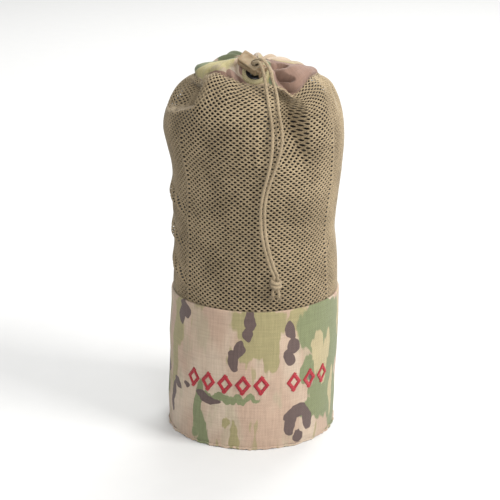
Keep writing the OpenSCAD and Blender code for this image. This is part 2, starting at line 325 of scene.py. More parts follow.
def camouflage(name, palette, greens, olives, browns, flames):
    """A printed coated fabric: soft airbrushed ground, ragged patches and small rounded dark spots."""
    material, tree, bsdf = shader(
        name, Roughness=0.82, Specular_IOR_Level=0.25, Sheen_Weight=0.15, Sheen_Roughness=0.5
    )
    uv = cloth_uv(tree)
    tall = node(tree, "Mapping", {"Vector": uv, "Scale": (1.0, 0.35, 1.0)}).outputs[0]
    ragged = noise(tree, tall, 130, 2, 0.5, out=1)
    wobble = noise(tree, uv, 60, 2, 0.5, out=1)

    def warped(source, amount):
        centred = node(tree, "VectorMath", {0: source, 1: (0.5, 0.5, 0.5)}, operation="SUBTRACT").outputs[0]
        scaled = node(tree, "VectorMath", {0: centred, 1: (amount, amount * 1.6, 0)}, operation="MULTIPLY").outputs[0]
        return node(tree, "VectorMath", {0: uv, 1: scaled}).outputs[0]

    rough_uv, soft_uv = warped(ragged, 0.013), warped(wobble, 0.009)
    colour = mix_colour(tree, ramp(tree, noise(tree, tall, 28, 2), 0.42, 0.66), palette["ground"], palette["beige"])
    pale = ramp(tree, noise(tree, tall, 45, 3, 0.6), 0.52, 0.64)
    colour = mix_colour(tree, math_node(tree, "MULTIPLY", pale, 0.5), colour, palette["pale"])
    long = node(tree, "Mapping", {"Vector": uv, "Scale": (1.0, 0.22, 1.0), "Location": (0.3, 0.1, 0)}).outputs[0]
    streaks = ramp(tree, noise(tree, long, 48, 3, 0.6), 0.6, 0.63)
    colour = mix_colour(tree, math_node(tree, "MULTIPLY", streaks, 0.75), colour, palette["olive"])
    colour = mix_colour(tree, ramp(tree, blobs(tree, rough_uv, olives), 1.10, 0.92), colour, palette["olive"])
    colour = mix_colour(tree, ramp(tree, blobs(tree, rough_uv, greens), 1.06, 0.95), colour, palette["green"])
    colour = mix_colour(tree, ramp(tree, blobs(tree, rough_uv, flames), 1.06, 0.94), colour, palette["flame"])
    colour = mix_colour(tree, ramp(tree, blobs(tree, soft_uv, browns), 1.03, 0.97), colour, palette["brown"])
    # uneven threads of the canvas, upright and level: uneven tone, plus painted shade where the threads sink
    fine = noise(tree, uv, 1400, 2, 0.6)
    grain = math_node(tree, "MULTIPLY", fine, 0.25)
    for scale, share in (((1.0, 0.07, 1.0), 0.42), ((0.07, 1.0, 1.0), 0.33)):
        threads = noise(tree, node(tree, "Mapping", {"Vector": uv, "Scale": scale}).outputs[0], 620, 2, 0.6)
        grain = math_node(tree, "MULTIPLY_ADD", threads, share, grain)
    shade = math_node(tree, "MULTIPLY_ADD", grain, 1.1, 0.45)
    shading = node(tree, "CombineXYZ", {0: shade, 1: shade, 2: shade}).outputs[0]
    colour = node(tree, "VectorMath", {0: colour, 1: shading}, operation="MULTIPLY").outputs[0]
    tree.links.new(colour, bsdf.inputs["Base Color"])
    height = math_node(tree, "ADD", weave(tree, uv, CANVAS_THREAD), math_node(tree, "MULTIPLY", grain, 2.0))
    bump(tree, bsdf, height, 0.00014, 0.9)
    return material


# ovals of the base print: place round the bag and height in mm, half sizes, turn
BASE_GREENS = [
    (66, 112, 26, 26, 10), (88, 92, 24, 38, 0), (58, 74, 17, 12, 30), (78, 48, 22, 30, -8), (60, 34, 17, 9, 0),
    (98, 26, 16, 26, 8), (-54, 34, 5, 30, -6), (-48, 8, 6, 22, 4), (-20, 50, 27, 4.5, -3), (-150, 88, 34, 30, 10),
    (-178, 46, 20, 34, 0), (-122, 34, 15, 24, -10), (176, 100, 36, 26, 0), (205, 62, 22, 34, 12), (150, 30, 26, 18, 0),
    (228, 18, 30, 14, 0),
]
BASE_OLIVES = [
    (4, 122, 26, 17, 0), (-2, 100, 15, 14, 12), (16, 96, 8, 20, -6), (-84, 112, 9, 22, 5), (-90, 80, 6, 34, -4),
    (-16, 12, 5, 14, 6), (-24, 28, 3, 6, 0), (40, 122, 10, 12, 0), (128, 74, 12, 44, 4), (-132, 118, 24, 12, 0),
    (-200, 108, 22, 18, 0), (182, 64, 10, 26, 0), (-160, 14, 24, 9, 0),
]
BASE_FLAMES = [
    (64, 88, 7, 24, 5), (76, 78, 6, 26, -6), (92, 40, 5, 28, 3), (104, 112, 4, 22, 0), (-150, 74, 8, 22, 8),
    (190, 90, 8, 26, -4), (-184, 34, 6, 22, 6),
]
BASE_BROWNS = [
    (-5, 126, 5.5, 11, 5), (-6, 112, 4.5, 6, -10), (-14, 97, 4.5, 9, -14), (-19, 86, 5, 9, 10), (32, 114, 5, 9, 24),
    (36, 100, 6.5, 8, -30), (33, 88, 6, 8, 25), (41, 33, 12, 6.5, 6), (36, 22, 6, 11, -12), (54, 23, 6, 12, 16),
    (44, 10, 6, 5, 0), (-74, 126, 7, 8, 30), (-80, 118, 5, 7, 0), (-92, 36, 4, 17, -8), (-84, 52, 8, 4, -35),
    (-68, 55, 3.5, 3, 0), (-43, 47, 14, 3.8, -6), (58, 62, 3, 8, 4), (118, 112, 6, 14, 12), (126, 96, 10, 6, 0),
    (150, 60, 6, 12, -20), (140, 46, 11, 6, 10), (-122, 70, 6, 13, 14), (-114, 58, 9, 6, -20), (-160, 112, 12, 6, 10),
    (-196, 70, 6, 14, 0), (-208, 60, 10, 6, 25), (198, 28, 14, 5, -8), (214, 88, 6, 13, 20), (-140, 14, 6, 11, -10),
]
base_camo = camouflage("printed_canvas", BASE_PALETTE, BASE_GREENS, BASE_OLIVES, BASE_BROWNS, BASE_FLAMES)

COLLAR_GREENS = [
    (-132, 14, 16, 30, 10), (-116, 34, 9, 18, 0), (26, 16, 6, 14, 10), (34, 52, 6, 10, 0), (248, 28, 20, 16, 0),
    (-190, 44, 34, 14, 0), (225, 20, 20, 20, 0), (-60, 50, 10, 8, 0),
]
COLLAR_OLIVES = [
    (-84, 28, 40, 22, 10), (-104, 50, 22, 18, 0), (4, 30, 26, 12, 0), (-4, 48, 22, 14, 0), (-160, 14, 20, 14, 0),
]
COLLAR_BROWNS = [
    (-50, 8, 30, 8, 10), (-30, 16, 16, 8, -14), (-24, 40, 8, 12, 0), (78, 26, 50, 44, 0), (118, 20, 26, 30, 0),
    (-150, 44, 14, 8, 0),
]
COLLAR_FLAMES = [(-70, 20, 18, 5, 8), (180, 12, 20, 5, 0)]
collar_camo = camouflage("printed_tunnel", COLLAR_PALETTE, COLLAR_GREENS, COLLAR_OLIVES, COLLAR_BROWNS, COLLAR_FLAMES)


def plain_cloth(name, colour, dark, thread, roughness=0.85, distance=0.00015):
    material, tree, bsdf = shader(name, Roughness=roughness, Specular_IOR_Level=0.25, Sheen_Weight=0.1)
    uv = cloth_uv(tree)
    relief = weave(tree, uv, thread)
    grain = math_node(tree, "MULTIPLY", noise(tree, uv, 300, 3), 0.5)
    share = math_node(tree, "MULTIPLY_ADD", relief, 0.5, grain)
    # painted shade in the low parts of the weave, with uneven tone from the noise
    tree.links.new(mix_colour(tree, ramp(tree, share, 0.2, 0.8), dark, colour), bsdf.inputs["Base Color"])
    bump(tree, bsdf, relief, distance)
    return material


def yarn(name, light, dark, scale=900, roughness=0.8, sheen=0.2):
    """Twisted or knitted yarn: fine fibres with painted shade between them, and broad patches of uneven tone."""
    material, tree, bsdf = shader(
        name, Roughness=roughness, Specular_IOR_Level=0.3, Sheen_Weight=sheen, Sheen_Roughness=0.4
    )
    place = position(tree)
    fibres = noise(tree, place, scale, 3, 0.65)
    patches = noise(tree, place, 35, 2, 0.5)
    share = math_node(tree, "MULTIPLY_ADD", fibres, 0.75, math_node(tree, "MULTIPLY", patches, 0.25))
    tree.links.new(mix_colour(tree, ramp(tree, share, 0.32, 0.66), dark, light), bsdf.inputs["Base Color"])
    bump(tree, bsdf, fibres, 0.00012, 0.8)
    return material


net_yarn = yarn("net_yarn", rgb(170, 152, 122), rgb(96, 82, 60), 1500)
cord_yarn = yarn("cord_yarn", rgb(162, 145, 118), rgb(108, 93, 70), 1700)
rope_yarn = yarn("rope_yarn", rgb(44, 37, 30), rgb(22, 18, 14), 700)
red_thread = yarn("red_thread", rgb(176, 44, 54), rgb(120, 20, 32), 2200, roughness=0.45, sheen=0.3)
tape_cloth = plain_cloth("binding_tape", rgb(128, 114, 86), rgb(84, 74, 54), 0.0011)
patch_cloth = plain_cloth("eyelet_patch_canvas", rgb(176, 164, 128), rgb(140, 130, 96), 0.0009)
webbing_cloth = plain_cloth("anchor_webbing_weave", rgb(60, 56, 46), rgb(34, 31, 25), 0.0016, distance=0.0003)
lining_cloth = plain_cloth("lining_cloth", rgb(70, 66, 54), rgb(44, 41, 33), 0.0007, roughness=0.6)


def moulded(name, colour, dark):
    material, tree, bsdf = shader(name, Specular_IOR_Level=0.5, Subsurface_Weight=0.05)
    place = position(tree)
    fine, broad = noise(tree, place, 2600, 2), noise(tree, place, 160, 2)
    tree.links.new(mix_colour(tree, ramp(tree, broad, 0.35, 0.7), dark, colour), bsdf.inputs["Base Color"])
    tree.links.new(math_node(tree, "MULTIPLY_ADD", fine, 0.2, 0.32), bsdf.inputs["Roughness"])
    bump(tree, bsdf, fine, 0.00003, 0.6)
    return material


lock_plastic = moulded("lock_plastic", rgb(150, 131, 105), rgb(134, 114, 88))
button_plastic = moulded("button_plastic", rgb(142, 122, 96), rgb(126, 105, 80))


def metal(name, colour, roughness, metallic):
    material, tree, bsdf = shader(name, Metallic=metallic, Specular_IOR_Level=0.6)
    scuffs = noise(tree, position(tree), 900, 3, 0.7)
    tree.links.new(mix_colour(tree, ramp(tree, scuffs, 0.62, 0.8), colour, rgb(70, 68, 66)), bsdf.inputs["Base Color"])
    tree.links.new(math_node(tree, "MULTIPLY_ADD", scuffs, 0.3, roughness), bsdf.inputs["Roughness"])
    bump(tree, bsdf, scuffs, 0.00002, 0.5)
    return material


black_metal = metal("black_metal", rgb(24, 24, 27), 0.15, 0.6)
spring_wire = metal("spring_wire", rgb(190, 190, 195), 0.2, 1.0)


def foam(name):
    material, tree, bsdf = shader(name, Roughness=0.9, Specular_IOR_Level=0.2)
    cells = node(tree, "TexVoronoi", {"Vector": position(tree), "Scale": 1100.0}).outputs["Distance"]
    # painted shade: each cell is darker at its middle, where the bump sinks into a pit
    shades = mix_colour(tree, ramp(tree, cells, 0.1, 0.7), rgb(30, 30, 32), rgb(58, 58, 61))
    tree.links.new(shades, bsdf.inputs["Base Color"])
    bump(tree, bsdf, cells, 0.0003, 0.8)
    return material


foam_cells = foam("foam_cells")


# ---- outline of the bag ----

BASE_TOP = 133.0
BAG_HEIGHT = [
    0, 25, 45, 70, 90, 110, 120, 133, 145, 160, 190, 210, 228, 245, 255, 270, 283, 292, 303, 318, 326, 340,
]
BAG_LEAN = [
    -1.2, -0.7, -0.1, 1.2, 1.4, 2.3, 2.6, 2.7, 2.6, 2.8, 1.9, 1.8, 2.8, 3.8, 3.6, 2.4, 0.9, 0.8, 1.3, 2.2, 3.4, 3.0,
]
NET_OUTLINE = [
    (75.4, 125), (75.6, 133), (75.8, 140), (75.4, 155), (74.1, 178), (73.2, 192), (74.3, 210), (75.3, 228),
    (77.2, 250), (79.8, 268), (81.0, 282), (80.4, 292), (78.3, 302), (75.2, 310), (70.0, 318), (63.5, 325),
    (56.0, 330.5), (47.5, 335.0),
]


def lean(z):
    return np.interp(z, BAG_HEIGHT, BAG_LEAN)


def round_bag(theta, radius, z):
    """Points at an angle from the front, at a radius and a height, on the bag's slightly leaning axis."""
    return np.stack([lean(z) + radius * np.sin(theta), -radius * np.cos(theta), z + 0 * radius], axis=-1)


# ---- drawcord strands, with the points of the CAD route ----

EYELET = np.array([2.0, -36.0, 341.0])
OUT = unit([0, -1.0, 1.0])
SPIN = math.radians(38)
ACROSS = np.array([math.sin(SPIN), math.cos(SPIN) * math.sqrt(0.5), math.cos(SPIN) * math.sqrt(0.5)])
ALONG = np.array([math.cos(SPIN), -math.sin(SPIN) * math.sqrt(0.5), -math.sin(SPIN) * math.sqrt(0.5)])
CORD_D = 3.0
RIGHT_FREE = [
    (8.5, -52, 355), (13.5, -52.5, 349), (17, -55, 338.5), (20.5, -60.5, 326.5), (22.5, -71, 312.5),
    (25, -78.5, 297.5), (24.5, -80.8, 284), (20, -81.8, 267), (14, -82, 250), (10.5, -81.8, 232), (11, -81, 210),
    (14, -80.3, 192), (19, -79.7, 175), (21.9, -79.5, 168), (21.9, -79.5, 165),
]
LEFT_FREE = [
    (6, -53.5, 352.5), (9.5, -55.5, 343.5), (11.5, -59.5, 332.5), (14, -69.5, 317.5), (16.5, -78.7, 302.5),
    (17, -81.8, 291), (16, -82.6, 276), (13.5, -82.8, 262), (9.5, -82.6, 246), (7, -82.2, 230), (7.6, -81.2, 210),
    (10.5, -80.4, 193), (15.5, -79.7, 176), (18.7, -79.5, 168), (18.7, -79.5, 165),
]
KNOT = np.array([20.3, -79.5, 160.5])


def strand(name, side, free, node_name):
    start = EYELET + side * 1.6 * ACROSS
    straight = [start + s * OUT for s in (-8.5, 0, 8, 15)]
    path = smooth_path([*straight, start + 16.5 * OUT, *free])
    (points, faces), line, length = cord_mesh(path, CORD_D, carriers=3, pitch=15, depth=0.26)
    return piece(name, points, faces, cord_yarn, "tan_cord", node_name, body=None), line, length


strand_left, line_left, length_left = strand("cord_strand_left", -1, LEFT_FREE, "cord_tail_left")
strand_right, line_right, length_right = strand("cord_strand_right", 1, RIGHT_FREE, "cord_tail_right")

# the knot: both strands run down the middle and wrap round themselves once
turns = np.linspace(0, 1, 60)


def knot_wrap(first, rise, radius):
    a = first + turns * math.radians(430)
    swell = 1 - 0.35 * np.abs(2 * turns - 1) ** 3
    r = radius * swell
    z = rise + 3.4 * (0.5 - turns) + 0.9 * np.sin(a)
    return KNOT + np.stack([r * np.cos(a), r * np.sin(a), z], axis=1)


knot_parts = []
for first, rise, radius in ((2.2, 1.8, 3.8), (2.2, -1.4, 4.0)):
    knot_parts.append(cord_mesh(knot_wrap(first, rise, radius), CORD_D + 0.2)[0])
for side in (-1, 1):
    through = ((side * 1.6, 0, 5), (side * 1.2, 0.8, 2), (-side * 1.0, -0.4, -2), (side * 1.6, 0, -5))
    middle = smooth_path([KNOT + point for point in through])
    knot_parts.append(cord_mesh(middle, CORD_D)[0])
tail_knot = piece("overhand_knot", *merged(knot_parts), cord_yarn, "tan_cord", "tail_knot", body="lock")

rng = np.random.default_rng(7)
end_parts = []
for side, long in ((-1, 6.5), (1, 8.0)):
    top = KNOT + (side * 1.6, 0, -4.4)
    tip = top + (side * (0.4 + 0.1 * long), -0.4, -long)
    end_parts.append(cord_mesh(smooth_path([top, (top + tip) / 2 + (side * 0.5, 0, 0), tip]), CORD_D - 0.2)[0])
    for _ in range(46):
        a, spread = rng.uniform(0, TURN), rng.uniform(0, 1.2)
        root = tip + (spread * math.cos(a), spread * math.sin(a), 1.2)
        reach = rng.uniform(2.2, 5.0)
        away = unit([0.30 * math.cos(a) + 0.12 * side, 0.30 * math.sin(a) - 0.05, -1 + rng.uniform(-0.1, 0.2)])
        bend = rng.normal(0, 0.5, 3)
        fibre = smooth_path([root, root + away * reach * 0.5 + bend * 0.5, root + away * reach + bend], 4)
        end_parts.append(tube(fibre, 0.13, 4))
tail_ends = piece("frayed_ends", *merged(end_parts), cord_yarn, "tan_cord", "tail_ends", body="lock")


# ---- net ----

NET_AROUND = 176  # half pitches round the bag: 88 holes in each row
NET_PITCH_UP = 2.15
HOLE_ROUND, HOLE_UP = 0.57, 0.455  # half sizes of a hole, in pitches
RIM_OUT, NODE_OUT, STRAND_OUT = -0.55, 0.36, 0.42  # mm off the net's middle
# the gathered mouth, angle from the front; its sewn lower edge, outward bulge, crest and inner rim,
# each as radius and height
MOUTH = [
    (-170, 50, 326, 46, 335, 31, 343, 13, 343), (-150, 51, 325, 48, 334, 32, 344.5, 14, 343),
    (-130, 51, 325, 48, 334, 32, 344.5, 14, 344), (-112, 52, 327, 50, 334, 36, 338.5, 13, 344),
    (-94, 53, 329, 52.5, 335, 42, 339, 14, 343), (-78, 53, 329, 52.5, 336, 42, 340.5, 14, 344),
    (-64, 51, 328, 48.5, 335.5, 38, 341, 14, 345), (-53, 52, 336, 48.5, 341.5, 37, 347, 14, 348),
    (-40, 51, 339, 47.5, 343.5, 35, 348.5, 13, 348), (-27, 50, 336, 46.5, 341, 33, 347.5, 13, 347),
    (-13, 48, 331.5, 43, 333, 31, 344, 13, 346), (0, 47.5, 330.5, 42, 332.5, 30, 344, 14, 346),
    (13, 47.5, 330.5, 42.5, 332.5, 31, 343.5, 14, 346), (24, 50, 328.5, 47.5, 333, 34, 343.5, 14, 346),
    (35, 54.5, 319.5, 54, 329.5, 41, 342, 14, 345), (46, 55.5, 328.5, 54.5, 335.5, 42, 343, 14, 345),
    (58, 56, 334, 53.5, 338, 42, 342, 14, 344), (72, 55.5, 334, 53, 337, 40, 339.5, 14, 343),
    (90, 54, 329, 51.5, 334, 38, 337.5, 13, 342), (112, 52, 327, 49, 334, 35, 339, 14, 342),
    (132, 50.5, 326, 47.5, 334.5, 32, 341.5, 14, 342), (152, 50, 326, 46, 334.5, 31, 342, 13, 342),
]
mouth_angles = np.radians([row[0] for row in MOUTH])


def mouth_value(theta, column):
    """A value of the table, smooth in the angle and closed on itself."""
    values = np.array([row[column] for row in MOUTH], float)
    angles = np.concatenate([mouth_angles[-2:] - TURN, mouth_angles, mouth_angles[:2] + TURN])
    values = np.concatenate([values[-2:], values, values[:2]])
    total = weight = 0.0
    for a, v in zip(angles, values):
        w = np.exp(-(((theta - a) / math.radians(7.0)) ** 2)) + 1e-9
        total, weight = total + w * v, weight + w
    return total / weight


outline = smooth_path([(r, 0, z) for r, z in NET_OUTLINE])
outline_at = np.concatenate([[0], np.cumsum(np.linalg.norm(np.diff(outline, axis=0), axis=1))])
NET_LONG = outline_at[-1]
NET_ROWS = int(NET_LONG / NET_PITCH_UP)


def furrow(theta, z, angle, half_angle, low, high, depth):
    """A groove that runs up the net, deepest at its top."""
    return -depth * hump(theta, math.radians(angle), math.radians(half_angle)) * step(z, low, high)


def fold(theta, z, angle, height, half_angle, half_height, slope, rise):
    """A short slanting wrinkle."""
    t = (theta - math.radians(angle)) / math.radians(half_angle)
    middle = height + slope * t
    return rise * hump(t, 0, 1) * hump(z, middle, half_height)


def net_dent(theta, z):
    """How far the gathered net is drawn in towards the bag's axis, in mm: 0 or less."""
    # the dent under the left roll of the mouth, with a sharp edge on the side of the front panel
    edge = (1 - step(theta, math.radians(-49.5), math.radians(-46))) * step(theta, math.radians(-97), math.radians(-76))
    ledge = np.interp(theta, np.radians([-110, -90, -67, -57, -46]), [301, 303, 306, 310, 315])
    left = 16.0 * edge * step(z, ledge - 3, ledge + 3) * (1 - 0.4 * step(z, 320, 332))
    # the furrow right of the strands, where the mouth is drawn in
    deep = step(theta, math.radians(14), math.radians(19)) * (1 - step(theta, math.radians(31), math.radians(39)))
    return -left - 21.0 * deep * step(z, 256, 302)


def net_relief(theta, z):
    """How far the net stands off its outline, in mm."""
    d = 0.5 * ripple(theta, z, 3, 5, 0.06) + 0.22 * ripple(theta, z, 4, 14, 0.12)
    d = d * step(z, BASE_TOP, BASE_TOP + 25)
    d = d + 1.5 * hump(theta, math.radians(-36), math.radians(10)) * step(z, 298, 318)
    d = d + 2.5 * hump(theta, math.radians(50), math.radians(13)) * step(z, 270, 305)
    for angle, half, depth in ((78, 10, 3.5), (104, 12, 5), (134, 12, 4.5), (163, 12, 5), (-168, 12, 4), (-140, 12, 5)):
        d = d + furrow(theta, z, angle, half, 290, 330, depth)
    # upright creases and small slanting wrinkles
    for angle, rise in ((1.5, 1.1), (-52, 1.3), (58, 1.1), (118, 1.0), (-118, 1.0)):
        d = d + rise * hump(theta, math.radians(angle), math.radians(2.4)) * (1 - step(z, 285, 310))
    for values in (
        (-72, 224, 24, 6, -14, 4.6), (-76, 190, 22, 6, -12, 4.0), (-70, 158, 22, 6, -14, 4.2),
        (-40, 246, 14, 6, 8, 0.8), (62, 180, 14, 6, 8, 1.0), (120, 230, 16, 7, 9, 1.4),
        (-128, 205, 15, 7, -9, 1.4), (170, 180, 15, 7, 9, 1.2),
    ):
        d = d + fold(theta, z, *values)
    return d


def net_surface(theta, along, proud=0.0):
    r = np.interp(along, outline_at, outline[:, 0])
    z = np.interp(along, outline_at, outline[:, 2])
    ahead = along + 1.0
    dr = np.interp(ahead, outline_at, outline[:, 0]) - np.interp(ahead - 2, outline_at, outline[:, 0])
    dz = np.interp(ahead, outline_at, outline[:, 2]) - np.interp(ahead - 2, outline_at, outline[:, 2])
    size = np.hypot(dr, dz)
    d = net_relief(theta, z) + proud
    # more of the cloth stays in the front panel, as the folds beside it take up the gathering
    drawn = step(z, 290, 335)
    turned = theta + drawn * (0.16 * np.sin(2 * theta) * hump(theta, 0, math.pi / 2))
    sewn = step(along, NET_LONG - 45, NET_LONG - 2)
    r = r + sewn * (mouth_value(turned, 1) - outline[-1, 0])
    z = z + sewn * (mouth_value(turned, 2) + 3 - outline[-1, 2])
    r = r + net_dent(turned, z) * (1 - step(along, NET_LONG - 22, NET_LONG - 2))
    d = d * (1 - 0.8 * step(along, NET_LONG - 12, NET_LONG))
    return round_bag(turned, r + d * dz / size, z - d * dr / size)


def net_mesh():
    """Rhombic net: strands along the edges of a lattice, each a rounded ridge round its holes."""
    nodes_i, nodes_j = np.meshgrid(np.arange(NET_ROWS + 1), np.arange(NET_AROUND), indexing="ij")
    halves_i, halves_j = nodes_i[:-1] + 0.5, nodes_j[:-1] + 0.5
    is_hole = (nodes_i + nodes_j) % 2 == 0
    inner = is_hole & (nodes_i > 0) & (nodes_i < NET_ROWS)
    hole_i, hole_j = nodes_i[inner], nodes_j[inner]
    count = len(hole_i)
    rim = [(1, 0), (0.62, 0.62), (0, 1), (-0.62, 0.62), (-1, 0), (-0.62, -0.62), (0, -1), (0.62, -0.62)]
    rng = np.random.default_rng(5)
    size = 1 + rng.normal(0, 0.06, (count, 2))
    rim_i = np.stack([hole_i + HOLE_UP * y * size[:, 0] for _, y in rim], axis=1)
    rim_j = np.stack([hole_j + HOLE_ROUND * x * size[:, 1] for x, _ in rim], axis=1)
    i = np.concatenate([nodes_i.ravel(), halves_i.ravel(), rim_i.ravel()])
    j = np.concatenate([nodes_j.ravel(), halves_j.ravel(), rim_j.ravel()])
    off = ((nodes_i.size, NODE_OUT), (halves_i.size, STRAND_OUT), (rim_i.size, RIM_OUT))
    proud = np.concatenate([np.full(count, height) for count, height in off])
    theta = (j / NET_AROUND - 0.5) * TURN
    along = i * NET_PITCH_UP
    points = net_surface(theta, along, proud)
    node_at = lambda a, b: a * NET_AROUND + b % NET_AROUND
    half_at = lambda a, b: nodes_i.size + a * NET_AROUND + b % NET_AROUND
    first = nodes_i.size + halves_i.size + 8 * np.arange(count)
    ring = [
        node_at(hole_i, hole_j + 1), half_at(hole_i, hole_j),
        node_at(hole_i + 1, hole_j), half_at(hole_i, hole_j - 1),
        node_at(hole_i, hole_j - 1), half_at(hole_i - 1, hole_j - 1),
        node_at(hole_i - 1, hole_j), half_at(hole_i - 1, hole_j),
    ]
    faces = np.concatenate([
        np.stack([ring[k], ring[(k + 1) % 8], first + (k + 1) % 8, first + k], axis=1) for k in range(8)
    ])
    used = np.unique(faces)
    new = np.zeros(len(points), int)
    new[used] = np.arange(len(used))
    return points[used], new[faces]


net = piece("net_upper", *net_mesh(), net_yarn, "net_fabric", "mesh_body")


# ---- base: wall, floor, seams, lining and foam ----

BASE_RADIUS_Z = [0, 3, 28, 46, 71, 89, 101, 119, 133]
BASE_RADIUS = [77.4, 77.9, 78.8, 78.2, 78.2, 78.8, 78.6, 77.9, 77.8]


def base_radius(z):
    return np.interp(z, BASE_RADIUS_Z, BASE_RADIUS)


def wall_relief(theta, z):
    return 0.35 * ripple(theta, z, 11, 4, 0.05) + 0.12 * ripple(theta, z, 12, 12, 0.12)


def shell(name, rings, columns, material, slot, node_name):
    """A closed cloth layer of revolution: rings gives (radius, height, cloth height) at each angle."""
    theta = (np.arange(columns + 1) / columns - 0.5) * TURN
    points, cloth = [], []
    for r, z, cut in rings(theta):
        points.append(round_bag(theta, r + 0 * theta, z + 0 * theta))
        cloth.append(np.stack([theta * 78, cut + 0 * theta], axis=1))
    faces = grid_faces(len(points), columns + 1, wrap_rows=True, wrap_columns=False)
    return welded(piece(name, np.vstack(points), faces, material, slot, node_name, cloth=np.vstack(cloth)))


def welded(made):
    """Joins the two edges that meet at the back and at cut ends, keeping the cloth coordinates."""
    mesh = bmesh.new()
    mesh.from_mesh(made.data)
    bmesh.ops.remove_doubles(mesh, verts=mesh.verts, dist=1e-6)
    bmesh.ops.recalc_face_normals(mesh, faces=mesh.faces)
    mesh.to_mesh(made.data)
    mesh.free()
    return made


def wall_rings(theta):
    rim = BASE_TOP - 1.2 + 0.35 * ripple(theta, 0, 21, 9, 0)
    bottom = 1.0 + 0.5 * ripple(theta, 0, 22, 17, 0)
    for z in np.linspace(0, 1, 90):
        height = bottom + (rim - bottom) * z
        yield base_radius(height) + wall_relief(theta, height), height, height
    for a in np.radians([20, 50, 80, 110, 140, 170]):
        radius = base_radius(BASE_TOP) - 1.2 + 1.2 * np.cos(a) + wall_relief(theta, rim)
        yield radius, rim + 1.2 * np.sin(a), BASE_TOP + 2.4 * a / math.pi
    for z in (-4, -9, -13):
        yield base_radius(BASE_TOP) - 2.4 + wall_relief(theta, rim), rim + z, BASE_TOP - z
    for z in (-13, -40, -80, -118):
        yield base_radius(rim + z) - 1.2 + wall_relief(theta, rim + z), rim + z, rim + z
    yield base_radius(bottom) - 1.2 + 0 * theta, bottom, bottom


wall = shell("base_wall_cloth", wall_rings, 480, base_camo, "camo_fabric", "base_wall")


def floor_rings(theta):
    """The floor panel: flat, drawn up a little at its edge where it is sewn."""
    for r in np.linspace(76.3, 0.5, 22):
        yield r + 0 * theta, 0.05 + 0.25 * step(r, 66, 76) + 0.05 * ripple(theta, r, 31, 5, 0.1), r - 80
    for r in np.linspace(0.5, 76.3, 8):
        yield r + 0 * theta, 1.15 + 0 * theta, r - 80


shell("base_floor_cloth", floor_rings, 180, base_camo, "camo_fabric", "base_floor")


def seam_rings(theta):
    """The two raw edges that stand out under the wall."""
    flare = 0.5 + 0.6 * ripple(theta, 0, 41, 30, 0) + 0.35 * ripple(theta, 0, 42, 110, 0)
    droop = 0.5 * ripple(theta, 0, 43, 40, 0) + 0.3 * ripple(theta, 0, 44, 120, 0)
    out = 78.0 + np.clip(flare, -0.4, 1.3)
    low, high = ((76.6, 2.5), (77.6, 2.7)), ((76.8, 0.02), (76.4, 1.2))
    edge = ((0, 2.2), (1, 1.5), (0.9, 0.9), (1.1, 0.6), (-0.3, 0.15))
    for r, z in (*low, *edge, *high):
        yield (r if r > 70 else out + 0.3 * r), np.maximum(z + (droop if r < 70 else 0), 0.02), r


shell("bottom_seam_edges", seam_rings, 720, base_camo, "camo_fabric", "bottom_seam")


def revolved(name, profile, columns, material, slot, node_name, relief):
    """A closed layer from (radius, height) corners, with a little unevenness."""

    def rings(theta):
        for k, (r, z) in enumerate(profile):
            uneven = relief * ripple(theta, z, 50, 7, 0.05) if r > 1 else 0 * theta
            yield r + uneven, z + 0 * theta, z + 3 * k

    return shell(name, rings, columns, material, slot, node_name)


def rounded(r_in, r_out, low, high, bevel):
    """Corners of a ring's section with rounded edges."""
    right, left, top, bottom = r_out - bevel, r_in + bevel, high - bevel, low + bevel
    corners = []
    for cx, cz, first in ((right, top, 0), (left, top, 90), (left, bottom, 180), (right, bottom, 270)):
        a = np.radians([0, 30, 60, 90]) + math.radians(first)
        corners += [(cx + bevel * math.cos(x), cz + bevel * math.sin(x)) for x in a]
    return corners


foam_ring = revolved(
    "foam_wall_ring", rounded(67.9, 75.1, 19.4, 116.8, 1.5),
    96, foam_cells, "closed_cell_foam", "foam_wall", 0.15,
)
foam_disc = revolved(
    "foam_floor_disc", [(0.3, 1.5), (74.5, 1.5), (76.2, 3), (76.4, 10), (76.2, 17.5), (74.5, 18.9), (0.3, 18.9)],
    96, foam_cells, "closed_cell_foam", "foam_floor", 0.0,
)
lining = revolved(
    "lining_cloth",
    [(0.3, 19.4), (40, 19.4), (66, 19.5), (67.3, 21)] + [(67.3, z) for z in (30, 45, 60, 75, 90, 105, 116)]
    + [(68.4, 117.2), (74.8, 117.3), (74.8, 118), (68, 118)]
    + [(66.6, z) for z in (116, 105, 90, 75, 60, 45, 30, 21.5)] + [(65.5, 20.2), (40, 20.1), (0.3, 20.1)],
    144, lining_cloth, "lining_fabric", "base_lining", 0.12,
)
revolved(
    "seam_binding", rounded(73.0, 74.1, 120.5, 132.8, 0.4), 144, tape_cloth, "binding_tape", "seam_tape", 0.05,
)


def back_strip(name, node_name, place, rows):
    """A flat strip of tape up the back: place gives its points from (angle, row, offset)."""
    theta = math.pi + np.radians(np.linspace(-4, 4, 9))
    points = np.vstack([place(theta, row, off) for off in (0.0, -0.7) for row in rows])
    n, c = len(rows), len(theta)
    front = grid_faces(n, c, wrap_columns=False)
    faces = [*front, *(front[:, ::-1] + n * c)]
    up, down = [k * c for k in range(n)], [k * c + c - 1 for k in range(n - 2, -1, -1)]
    edge = up + [(n - 1) * c + k for k in range(1, c)] + down + list(range(c - 2, 0, -1))
    faces += [(a, b, b + n * c, a + n * c) for a, b in zip(edge, edge[1:] + edge[:1])]
    cloth = np.vstack([np.stack([theta * 78, 0 * theta + 2.2 * k], axis=1) for _ in range(2) for k in range(n)])
    welded(piece(name, points, faces, tape_cloth, "binding_tape", node_name, cloth=cloth))


def on_net(theta, along, off):
    return net_surface(theta, along, off - 0.75)


def inside_wall(theta, z, off):
    return round_bag(theta, 76.6 + off + 0 * theta, z + 0 * theta)


back_strip("net_back_seam", "mesh_back_seam", on_net, np.linspace(10, NET_LONG - 12, 70))
back_strip("wall_back_tape", "wall_back_seam", inside_wall, np.linspace(22, 116, 30))


